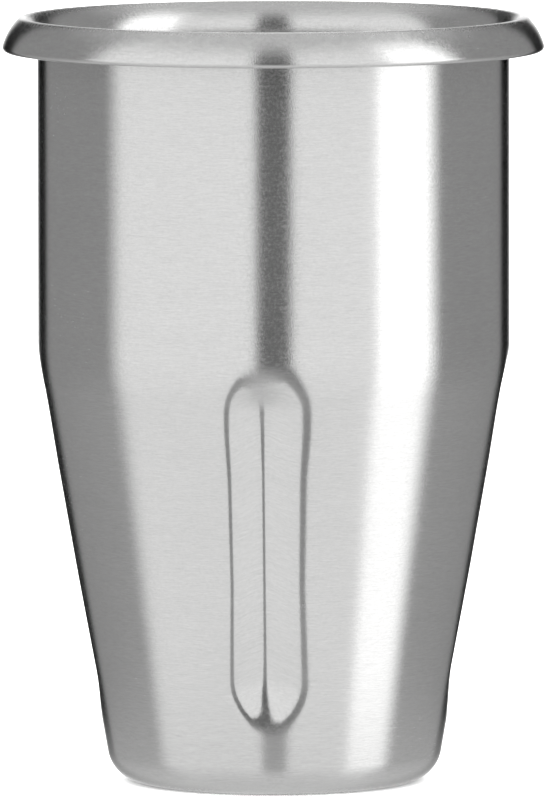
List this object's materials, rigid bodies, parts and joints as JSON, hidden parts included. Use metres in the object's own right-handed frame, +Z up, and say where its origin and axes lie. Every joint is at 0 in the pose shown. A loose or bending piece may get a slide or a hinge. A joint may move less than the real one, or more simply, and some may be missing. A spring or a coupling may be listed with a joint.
{
  "type": "drink mixer cup",
  "caption": "Tall stainless-steel mixing cup with a straight upper wall, a tapered lower wall with long pressed dents, and a broad rolled rim that it hangs by.",
  "frame": {"origin": "middle of the underside of the base, on the plane that the cup stands on", "axes": "+Z up the cup's axis, out of its mouth; the dents lie on the X and Y axes"},
  "size_m": [0.1148, 0.1148, 0.1624],
  "materials": {
    "brushed_steel": "fine satin brushing that runs round the cup"
  },
  "bodies": {
    "root": {"base": "brushed_steel", "tapered_wall": "brushed_steel", "upper_wall": "brushed_steel", "rolled_rim": "brushed_steel"}
  },
  "joints": []
}
